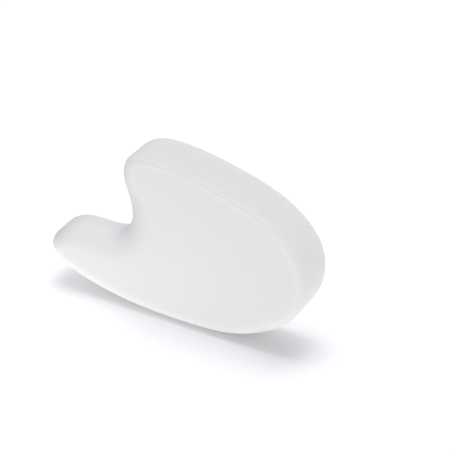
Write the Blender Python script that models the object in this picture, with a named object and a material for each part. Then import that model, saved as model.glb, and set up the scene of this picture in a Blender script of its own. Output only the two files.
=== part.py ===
"""A toe separator: one moulded slab of milky silicone gel, standing on its lower rim.

Metres, +Z up. +X points to the big round nose and -X to the two horns with the toe notch
between them. The toes press on the two flat sides, which face -Y and +Y. The origin is on
the ground, under the middle of the slab.
"""

import bmesh
import bpy
import numpy as np

LENGTH = 0.040
HEIGHT = 0.0250
THICKNESS = 0.0073
# The radius that the mould gives the edges of the rim over the back and the nose.
RIM_EDGE_RADIUS = 0.00045
# How far the notch's round wall runs in over the flat sides.
NOTCH_ROUND_REACH = 0.005

# The most of the half thickness that an edge's rounding takes from the flat of the rim.
ROUND_DEPTH_LIMIT = 0.92
# The steps of each edge's rounding, and of the outline from one of its points to the next.
ROUND_STEPS = 4
OUTLINE_STEPS = 5

# The outline runs from the upper horn over the back to the nose, and returns below.
# along and up are shares of LENGTH and HEIGHT. soft is 0 where the edge has the rim's radius
# and 1 where it reaches as far in as at the notch.
OUTLINE = (
    # along, up, soft
    (-0.189, 0.938, 0.38),
    (-0.128, 0.994, 0.10),
    (-0.029, 0.996, 0.00),
    (0.091, 0.967, 0.00),
    (0.218, 0.916, 0.00),
    (0.333, 0.846, 0.00),
    (0.423, 0.748, 0.00),
    (0.482, 0.618, 0.00),
    (0.500, 0.468, 0.02),
    (0.479, 0.318, 0.12),
    (0.421, 0.187, 0.30),
    (0.339, 0.091, 0.42),
    (0.237, 0.024, 0.42),
    (0.111, 0.002, 0.38),
    (-0.039, 0.002, 0.36),
    (-0.193, 0.018, 0.40),
    (-0.331, 0.058, 0.46),
    (-0.434, 0.123, 0.42),
    (-0.493, 0.217, 0.36),
    (-0.490, 0.309, 0.38),
    (-0.432, 0.384, 0.50),
    (-0.352, 0.406, 0.60),
    (-0.247, 0.427, 0.66),
    (-0.192, 0.521, 0.88),
    (-0.192, 0.662, 1.00),
    (-0.216, 0.810, 0.78),
)

GEL_COLOUR = (0.91, 0.92, 0.94, 1.0)
GEL_ROUGHNESS = 0.55
GEL_SUBSURFACE = 0.5


def clear_scene():
    for old in list(bpy.data.objects):
        bpy.data.objects.remove(old)


def gel_material():
    material = bpy.data.materials.new("milky_gel")
    material.use_nodes = True
    shader = material.node_tree.nodes["Principled BSDF"]
    shader.inputs["Base Color"].default_value = GEL_COLOUR
    shader.inputs["Roughness"].default_value = GEL_ROUGHNESS
    shader.inputs["Metallic"].default_value = 0.0
    shader.inputs["Subsurface Weight"].default_value = GEL_SUBSURFACE
    return material


def smooth_loop(points):
    """The smooth closed curve through these points, at a few steps from each to the next."""
    ones = np.eye(len(points))
    neighbours = np.roll(ones, 1, axis=1) + np.roll(ones, -1, axis=1)
    cage = np.linalg.solve((4 * ones + neighbours) / 6, points)
    before, after, later = (np.roll(cage, shift, axis=0) for shift in (1, -1, -2))
    steps = [
        (1 - u) ** 3 * before
        + (3 * u**3 - 6 * u**2 + 4) * cage
        + (3 * u + 3 * u**2 - 3 * u**3 + 1) * after
        + u**3 * later
        for u in np.arange(OUTLINE_STEPS) / OUTLINE_STEPS
    ]
    return np.stack(steps, axis=1).reshape(-1, points.shape[1]) / 6


def edge_row(side, turn):
    """A loop round the slab, part of the way through an edge's rounding.

    turn runs from 0, at the border of the flat side, to a quarter turn, at the rim.
    """
    along, up, soft = (np.array(column) for column in zip(*OUTLINE))
    points = np.stack([along * LENGTH, up * HEIGHT], axis=1)
    course = np.roll(points, -1, axis=0) - np.roll(points, 1, axis=0)
    course /= np.linalg.norm(course, axis=1, keepdims=True)
    inward = np.stack([course[:, 1], -course[:, 0]], axis=1)
    reach = RIM_EDGE_RADIUS + (NOTCH_ROUND_REACH - RIM_EDGE_RADIUS) * soft
    depth = np.minimum(reach, ROUND_DEPTH_LIMIT * THICKNESS / 2)
    points += inward * (reach * (1 - np.sin(turn)))[:, None]
    off_middle = side * (THICKNESS / 2 - depth * (1 - np.cos(turn)))
    return smooth_loop(np.stack([points[:, 0], off_middle, points[:, 1]], axis=1))


def bridge(mesh, first, second):
    """A band of faces from one loop of vertices to the next."""
    for i in range(len(first)):
        mesh.faces.new((first[i - 1], first[i], second[i], second[i - 1]))


def gel_mesh():
    """A loft round the slab, whose edge rounding changes from the rim to the notch."""
    mesh = bmesh.new()
    turns = np.linspace(0, np.pi / 2, ROUND_STEPS + 1)
    rows = [edge_row(-1, turn) for turn in turns] + [edge_row(1, turn) for turn in turns[::-1]]
    loops = [[mesh.verts.new(point) for point in row] for row in rows]
    for first, second in zip(loops, loops[1:]):
        bridge(mesh, first, second)
    mesh.faces.new(loops[0])
    mesh.faces.new(loops[-1])
    bmesh.ops.recalc_face_normals(mesh, faces=mesh.faces)
    return mesh


def gel_body(collection):
    mesh = gel_mesh()
    data = bpy.data.meshes.new("gel_body")
    mesh.to_mesh(data)
    mesh.free()
    data.materials.append(gel_material())
    data.shade_smooth()
    body = bpy.data.objects.new("gel_body", data)
    collection.objects.link(body)


def main():
    clear_scene()
    collection = bpy.data.collections.new("toe_separator")
    bpy.context.scene.collection.children.link(collection)
    gel_body(collection)


main()
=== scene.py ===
"""The looks of the toe separator: a frosted, milky gel slab on a plain white studio floor.

Metres, +Z up, in the frame of the part: +X to the round nose, -X to the two horns, and the
flat sides at -Y and +Y.
"""

import math

import bmesh
import bpy
import numpy as np
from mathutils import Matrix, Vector, noise
from mathutils.geometry import delaunay_2d_cdt

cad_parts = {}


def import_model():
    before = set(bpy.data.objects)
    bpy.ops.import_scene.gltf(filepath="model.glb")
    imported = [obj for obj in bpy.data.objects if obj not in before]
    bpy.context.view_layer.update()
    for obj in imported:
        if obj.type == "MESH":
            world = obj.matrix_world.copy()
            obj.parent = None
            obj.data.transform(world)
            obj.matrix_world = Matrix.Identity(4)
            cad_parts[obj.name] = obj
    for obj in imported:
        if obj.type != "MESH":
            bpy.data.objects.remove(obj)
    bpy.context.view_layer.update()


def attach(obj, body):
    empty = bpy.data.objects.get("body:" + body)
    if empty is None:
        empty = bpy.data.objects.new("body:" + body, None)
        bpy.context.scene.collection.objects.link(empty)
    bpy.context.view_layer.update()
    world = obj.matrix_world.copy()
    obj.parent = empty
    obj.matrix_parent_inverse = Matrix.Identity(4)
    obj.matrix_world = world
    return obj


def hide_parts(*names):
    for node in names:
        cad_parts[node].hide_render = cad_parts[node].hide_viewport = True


LENGTH = 0.040
HEIGHT = 0.0250
THICKNESS = 0.0073
# The radius that the mould gives the edges of the rim over the back and the nose.
RIM_EDGE_RADIUS = 0.00045
# How far the notch's round wall runs in over the flat sides.
NOTCH_ROUND_REACH = 0.005
# The most of the half thickness that an edge's rounding takes from the flat of the rim.
ROUND_DEPTH_LIMIT = 0.92

# The outline runs from the upper horn over the back to the nose, and returns below.
# along and up are shares of LENGTH and HEIGHT. soft is 0 where the edge has the rim's radius
# and 1 where it reaches as far in as at the notch. frost is 1 where the rim is frosted and 0
# where it is smooth. The last column is the share of painted shade, which darkens the notch's
# wall and the tips of the horns.
SOFT_COLUMN, FROST_COLUMN, PAINTED_SHADE_COLUMN = 2, 3, 4
OUTLINE = (
    # along, up, soft, frost, painted shade
    (-0.189, 0.938, 0.38, 0.8, 0.4),
    (-0.128, 0.994, 0.10, 1.0, 0.0),
    (-0.029, 0.996, 0.00, 1.0, 0.0),
    (0.091, 0.967, 0.00, 1.0, 0.0),
    (0.218, 0.916, 0.00, 1.0, 0.0),
    (0.333, 0.846, 0.00, 1.0, 0.0),
    (0.423, 0.748, 0.00, 1.0, 0.0),
    (0.482, 0.618, 0.00, 1.0, 0.0),
    (0.500, 0.468, 0.02, 1.0, 0.0),
    (0.479, 0.318, 0.12, 1.0, 0.0),
    (0.421, 0.187, 0.30, 0.8, 0.0),
    (0.339, 0.091, 0.42, 0.6, 0.0),
    (0.237, 0.024, 0.42, 0.4, 0.0),
    (0.111, 0.002, 0.38, 0.3, 0.0),
    (-0.039, 0.002, 0.36, 0.2, 0.0),
    (-0.193, 0.018, 0.40, 0.1, 0.0),
    (-0.331, 0.058, 0.46, 0.0, 0.0),
    (-0.434, 0.123, 0.42, 0.1, 0.1),
    (-0.493, 0.217, 0.36, 0.4, 0.8),
    (-0.490, 0.309, 0.38, 0.5, 0.9),
    (-0.432, 0.384, 0.50, 0.3, 0.3),
    (-0.352, 0.406, 0.60, 0.2, 0.0),
    (-0.247, 0.427, 0.66, 0.0, 0.0),
    (-0.192, 0.521, 0.88, 0.0, 0.4),
    (-0.192, 0.662, 1.00, 0.0, 0.9),
    (-0.216, 0.810, 0.78, 0.2, 1.0),
)

# The fineness of the mesh: steps from one row of the outline to the next, round each edge and
# across the rim, and the spacing of the points on the flat sides.
OUTLINE_STEPS = 24
ROUND_STEPS = 12
RIM_STEPS = 24
SIDE_GRID = 0.0004
# The least gap between the border of a flat side and its inner points, in grid spacings.
BORDER_GAP = 0.7
# The triangulation of a flat side gives the triangles inside its border alone, and takes points
# that are closer than the tolerance for one.
INSIDE_TRIANGLES = 1
POINT_TOLERANCE = 1e-9

# The slight unevenness of the cast surface, which fades out near the floor.
WAVE_HEIGHT = 0.00003
WAVE_LENGTH = 0.006
WAVE_FADE_HEIGHT = 0.003

# How much painted shade the middle of a crisp edge's rounding gets, darkening its crease, and
# how fast that fades as the edge gets softer.
EDGE_PAINTED_SHADE = 0.22
EDGE_CRISPNESS = 6

# The gel is off-white, and darker where its rim is frosted. The third colour is painted shade,
# which multiplies the gel's colour on the notch's wall, the horns' tips and crisp edges' creases.
SIDE_COLOUR = (0.815, 0.810, 0.802, 1.0)
RIM_COLOUR = (0.752, 0.747, 0.7225, 1.0)
PAINTED_SHADE_COLOUR = (0.69, 0.685, 0.695, 1.0)
SIDE_ROUGHNESS = 0.5
RIM_ROUGHNESS = 0.7
SPECULAR = 0.2
# How far light spreads in the gel.
GEL_DEPTH = 0.001
# The grain of the frosted rim: its fineness, its depth, and the shades from its hollows to its
# peaks, which multiply the colour.
GRAIN_SCALE = 5500
GRAIN_DEPTH = 0.00005
GRAIN_SHADES = (0.90, 1.10)

FLOOR_SIZE = 3.0
FLOOR_COLOUR = (0.95, 0.95, 0.95, 1.0)
WORLD_COLOUR = (0.932, 0.942, 1.0, 1.0)
WORLD_STRENGTH = 0.580

# Angles are in degrees, and the camera's lens and sensor in millimetres.
CAMERA_TARGET = (0.000336, 0.0, 0.01275)
CAMERA_AZIMUTH = 29.8
CAMERA_ELEVATION = 32.77
CAMERA_DISTANCE = 0.2688
CAMERA_LENS = 157.85
CAMERA_SENSOR = 36.0
CAMERA_SHIFT = (0.0879, 0.0208)
CAMERA_CLIP = (0.01, 10.0)

# Each kind of light aims at a centre from a distance, with a size, and reaches one object.
# The through light stands for what the gel lets past to the floor, so nothing blocks it.
LIGHT_KINDS = {
    # centre, distance, size, what it reaches
    "floor": ((0.0, 0.0, 0.0), 0.6, 0.35, "floor"),
    "through": ((0.0, 0.0, 0.0), 0.6, 0.25, "floor"),
    "studio": ((0.0, 0.0, 0.0), 0.6, 0.25, "gel_slab"),
    "near": ((-0.018, 0.0, 0.005), 0.045, 0.03, "gel_slab"),
}
LIGHTS = (
    # kind, azimuth, elevation, power
    ("floor", -120, 78, 0.240),
    ("floor", -180, 64, 0.450),
    ("floor", -60, 62, 0.120),
    ("floor", -90, 62, 0.360),
    ("floor", 150, 70, 0.260),
    ("through", 0, 90, 0.95),
    ("studio", 60, -60, 0.500),
    ("studio", 60, 45, 0.620),
    ("studio", 0, 90, 1.150),
    ("near", -5, -38, 0.0052),
)

# The sockets of Blender's Mix node when it mixes colours.
MIX_FACTOR, MIX_FIRST, MIX_SECOND, MIX_RESULT = 0, 6, 7, 2

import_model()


def smooth_loop(points):
    """A closed cubic spline through these points, in OUTLINE_STEPS steps from each to the next."""
    ones = np.eye(len(points))
    neighbours = np.roll(ones, 1, axis=1) + np.roll(ones, -1, axis=1)
    cage = np.linalg.solve((4 * ones + neighbours) / 6, points)
    before, after, later = (np.roll(cage, shift, axis=0) for shift in (1, -1, -2))
    steps = [
        (1 - u) ** 3 * before
        + (3 * u**3 - 6 * u**2 + 4) * cage
        + (3 * u + 3 * u**2 - 3 * u**3 + 1) * after
        + u**3 * later
        for u in np.arange(OUTLINE_STEPS) / OUTLINE_STEPS
    ]
    return np.stack(steps, axis=1).reshape(-1, points.shape[1]) / 6


def edge_row(side, turn):
    """A loop round the slab, part of the way through an edge's rounding.

    turn runs from 0, at the border of the flat side, to a quarter turn, at the rim.
    """
    along, up, soft = np.array(OUTLINE)[:, :3].T
    points = np.stack([along * LENGTH, up * HEIGHT], axis=1)
    course = np.roll(points, -1, axis=0) - np.roll(points, 1, axis=0)
    course /= np.linalg.norm(course, axis=1, keepdims=True)
    inward = np.stack([course[:, 1], -course[:, 0]], axis=1)
    reach = RIM_EDGE_RADIUS + (NOTCH_ROUND_REACH - RIM_EDGE_RADIUS) * soft
    depth = np.minimum(reach, ROUND_DEPTH_LIMIT * THICKNESS / 2)
    points += inward * (reach * (1 - np.sin(turn)))[:, None]
    off_middle = side * (THICKNESS / 2 - depth * (1 - np.cos(turn)))
    return smooth_loop(np.stack([points[:, 0], off_middle, points[:, 1]], axis=1))


def inside(points, loop):
    """Which points lie inside a closed loop, by counting the crossings of a ray."""
    x, z = points[:, :1], points[:, 1:]
    x0, z0 = loop.T
    x1, z1 = np.roll(x0, -1), np.roll(z0, -1)
    crosses = (z0 > z) != (z1 > z)
    rise = np.where(z1 == z0, 1, z1 - z0)
    return (crosses & (x < x0 + (z - z0) * (x1 - x0) / rise)).sum(axis=1) % 2 == 1


def side_points(border):
    """The corners of a grid of equal triangles, well inside the border of a flat side."""
    low, high = border.min(axis=0), border.max(axis=0)
    row_gap = SIDE_GRID * math.sqrt(0.75)
    rows = np.arange(low[1], high[1], row_gap)
    grid = np.array([
        (x, z)
        for i, z in enumerate(rows)
        for x in np.arange(low[0] + (i % 2) * SIDE_GRID / 2, high[0], SIDE_GRID)
    ])
    grid = grid[inside(grid, border)]
    gap = np.min(np.linalg.norm(grid[:, None, :] - border[None, ::2, :], axis=2), axis=1)
    return grid[gap > BORDER_GAP * SIDE_GRID]


def bridge(mesh, first, second):
    """A band of faces from one loop of vertices to the next."""
    for i in range(len(first)):
        mesh.faces.new((first[i - 1], first[i], second[i], second[i - 1]))


def cap(mesh, loop):
    """Fills a flat side with small even triangles."""
    border = np.array([(v.co.x, v.co.z) for v in loop])
    points = [Vector(p) for p in np.vstack([border, side_points(border)])]
    ring = [(i, (i + 1) % len(loop)) for i in range(len(loop))]
    found = delaunay_2d_cdt(points, ring, [], INSIDE_TRIANGLES, POINT_TOLERANCE)
    spots, triangles = found[0], found[2]
    level = loop[0].co.y
    made = [
        loop[i] if i < len(loop) else mesh.verts.new((spots[i].x, level, spots[i].y))
        for i in range(len(spots))
    ]
    for corners in triangles:
        mesh.faces.new([made[i] for i in corners])


def paint_edges(loops, rows, layer, column):
    """Stores a column of the outline on the edges, from 0 on the flat sides to full at the rim."""
    shares = np.clip(smooth_loop(np.array(OUTLINE)[:, column, None])[:, 0], 0, 1)
    for row, loop in zip(rows, loops):
        for share, vert in zip(shares, loop):
            vert[layer] = float(share * row)


def paint_edge_shade(loops, rows, layer):
    """Paints a little shade on the middle of each crisp edge's rounding, darkening its crease.

    row * (1 - row) is at most a quarter, half way round the edge, and 0 at its two ends.
    """
    soft = np.clip(smooth_loop(np.array(OUTLINE)[:, SOFT_COLUMN, None])[:, 0], 0, 1)
    crisp = (1 - soft) ** EDGE_CRISPNESS
    for row, loop in zip(rows, loops):
        for share, vert in zip(crisp, loop):
            vert[layer] += float(EDGE_PAINTED_SHADE * share * 4 * row * (1 - row))


def make_uneven(mesh):
    """Moves the surface in and out a little, as a cast in a soft mould has it."""
    mesh.normal_update()
    for vert in mesh.verts:
        fade = min(max(vert.co.z, 0) / WAVE_FADE_HEIGHT, 1)
        wave = noise.noise(vert.co / WAVE_LENGTH)
        vert.co += vert.normal * (wave * fade * WAVE_HEIGHT)


def gel_slab():
    """The slab as one closed mesh, with frost and the share of painted shade stored on its
    vertices.
    """
    mesh = bmesh.new()
    frost = mesh.verts.layers.float.new("frost")
    thin = mesh.verts.layers.float.new("thin")
    turns = np.linspace(0, math.pi / 2, ROUND_STEPS + 1)
    near = [edge_row(-1, turn) for turn in turns]
    far = [edge_row(1, turn) for turn in turns[::-1]]
    across = [near[-1] + (far[0] - near[-1]) * s for s in np.arange(1, RIM_STEPS) / RIM_STEPS]
    loops = [[mesh.verts.new(point) for point in row] for row in near + across + far]
    ramp = turns / turns[-1]
    soft_ramp = ramp * ramp * (3 - 2 * ramp)
    full = np.ones(RIM_STEPS - 1)
    rows = np.concatenate([ramp, full, ramp[::-1]])
    soft_rows = np.concatenate([soft_ramp, full, soft_ramp[::-1]])
    paint_edges(loops, rows, frost, FROST_COLUMN)
    # Painted shade on the notch's wall and the horns' tips.
    paint_edges(loops, soft_rows, thin, PAINTED_SHADE_COLUMN)
    # Painted shade in the middle of each crisp edge's rounding, darkening its crease.
    paint_edge_shade(loops, rows, thin)
    for first, second in zip(loops, loops[1:]):
        bridge(mesh, first, second)
    cap(mesh, loops[0])
    cap(mesh, loops[-1])
    bmesh.ops.recalc_face_normals(mesh, faces=mesh.faces)
    make_uneven(mesh)
    data = bpy.data.meshes.new("gel_slab")
    mesh.to_mesh(data)
    mesh.free()
    data.shade_smooth()
    slab = bpy.data.objects.new("gel_slab", data)
    bpy.context.scene.collection.objects.link(slab)
    return slab


def mix_colours(tree, kind, factor, first, second):
    """A Mix node for colours, whose inputs are values or other nodes' outputs."""
    mix = tree.nodes.new("ShaderNodeMix")
    mix.data_type = "RGBA"
    mix.blend_type = kind
    for socket, value in ((MIX_FACTOR, factor), (MIX_FIRST, first), (MIX_SECOND, second)):
        if isinstance(value, bpy.types.NodeSocket):
            tree.links.new(value, mix.inputs[socket])
        else:
            mix.inputs[socket].default_value = value
    return mix.outputs[MIX_RESULT]


def spread(tree, value, low, high):
    """A Map Range node from the range 0 to 1 to low and high."""
    node = tree.nodes.new("ShaderNodeMapRange")
    tree.links.new(value, node.inputs["Value"])
    node.inputs["To Min"].default_value = low
    node.inputs["To Max"].default_value = high
    return node.outputs["Result"]


def share_of(tree, name):
    """The values that the mesh stores under this name."""
    node = tree.nodes.new("ShaderNodeAttribute")
    node.attribute_name = name
    return node.outputs["Fac"]


def gel_material():
    """Milky silicone gel: smooth sides, a frosted, grainy rim, and painted shade on the notch, the
    horns' tips and the creases.
    """
    material = bpy.data.materials.new("frosted_gel")
    material.use_nodes = True
    tree = material.node_tree
    shader = tree.nodes["Principled BSDF"]
    frost, thin = share_of(tree, "frost"), share_of(tree, "thin")

    place = tree.nodes.new("ShaderNodeTexCoord")
    grain = tree.nodes.new("ShaderNodeTexNoise")
    grain.inputs["Scale"].default_value = GRAIN_SCALE
    tree.links.new(place.outputs["Object"], grain.inputs["Vector"])

    colour = mix_colours(tree, "MIX", frost, SIDE_COLOUR, RIM_COLOUR)
    # Painted shade: darker on the notch's wall, the horns' tips and the creases of crisp edges.
    colour = mix_colours(tree, "MULTIPLY", thin, colour, PAINTED_SHADE_COLOUR)
    speckle = spread(tree, grain.outputs["Fac"], *GRAIN_SHADES)
    colour = mix_colours(tree, "MULTIPLY", frost, colour, speckle)
    tree.links.new(colour, shader.inputs["Base Color"])
    roughness = spread(tree, frost, SIDE_ROUGHNESS, RIM_ROUGHNESS)
    tree.links.new(roughness, shader.inputs["Roughness"])

    bump = tree.nodes.new("ShaderNodeBump")
    bump.inputs["Distance"].default_value = GRAIN_DEPTH
    tree.links.new(frost, bump.inputs["Strength"])
    tree.links.new(grain.outputs["Fac"], bump.inputs["Height"])
    tree.links.new(bump.outputs["Normal"], shader.inputs["Normal"])

    shader.inputs["Specular IOR Level"].default_value = SPECULAR
    shader.inputs["Subsurface Weight"].default_value = 1.0
    shader.inputs["Subsurface Radius"].default_value = (1.0, 1.0, 1.0)
    shader.inputs["Subsurface Scale"].default_value = GEL_DEPTH
    return material


def floor():
    """The wide, dull white floor that the slab stands on."""
    half = FLOOR_SIZE / 2
    corners = [(-half, -half, 0), (half, -half, 0), (half, half, 0), (-half, half, 0)]
    data = bpy.data.meshes.new("floor")
    data.from_pydata(corners, [], [(0, 1, 2, 3)])
    material = bpy.data.materials.new("white_floor")
    material.use_nodes = True
    shader = material.node_tree.nodes["Principled BSDF"]
    shader.inputs["Base Color"].default_value = FLOOR_COLOUR
    shader.inputs["Specular IOR Level"].default_value = 0.0
    data.materials.append(material)
    plane = bpy.data.objects.new("floor", data)
    bpy.context.scene.collection.objects.link(plane)


def direction(azimuth, elevation):
    """The unit vector towards a place round the object. Azimuth 0 is in front, at -Y."""
    a, e = math.radians(azimuth), math.radians(elevation)
    return Vector((math.sin(a) * math.cos(e), -math.cos(a) * math.cos(e), math.sin(e)))


def aim(name, data, centre, azimuth, elevation, distance):
    """An object of this data that looks at the centre from a distance."""
    back = direction(azimuth, elevation)
    looker = bpy.data.objects.new(name, data)
    looker.location = Vector(centre) + back * distance
    looker.rotation_euler = (-back).to_track_quat("-Z", "Y").to_euler()
    bpy.context.scene.collection.objects.link(looker)
    return looker


def camera():
    """The scene's camera, from in front, to the right and above."""
    data = bpy.data.cameras.new("camera")
    data.lens = CAMERA_LENS
    data.sensor_width = CAMERA_SENSOR
    data.shift_x, data.shift_y = CAMERA_SHIFT
    data.clip_start, data.clip_end = CAMERA_CLIP
    place = (CAMERA_AZIMUTH, CAMERA_ELEVATION, CAMERA_DISTANCE)
    bpy.context.scene.camera = aim("camera", data, CAMERA_TARGET, *place)


def world():
    """An even, slightly blue light from all round."""
    made = bpy.data.worlds.new("studio")
    made.use_nodes = True
    background = made.node_tree.nodes["Background"]
    background.inputs["Color"].default_value = WORLD_COLOUR
    background.inputs["Strength"].default_value = WORLD_STRENGTH
    bpy.context.scene.world = made


def only(target):
    """A collection of one object, for the lights that reach nothing else."""
    found = bpy.data.collections.new("only_" + target.name)
    found.objects.link(target)
    return found


def lights():
    """The studio lights. The slab alone blocks those that shine from below the floor."""
    reached = {name: only(bpy.data.objects[name]) for name in ("floor", "gel_slab")}
    for number, (kind, azimuth, elevation, power) in enumerate(LIGHTS, 1):
        centre, distance, size, target = LIGHT_KINDS[kind]
        data = bpy.data.lights.new(f"{kind}_{number}", "AREA")
        data.size = size
        data.energy = power
        lamp = aim(data.name, data, centre, azimuth, elevation, distance)
        lamp.light_linking.receiver_collection = reached[target]
        if elevation < 0:
            lamp.light_linking.blocker_collection = reached["gel_slab"]
        elif kind == "through":
            lamp.light_linking.blocker_collection = bpy.data.collections.new("nothing")


camera()
world()
floor()
slab = gel_slab()
slab.data.materials.append(gel_material())
lights()
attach(slab, "root")
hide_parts("gel_body")
bpy.context.scene.view_settings.view_transform = "Standard"
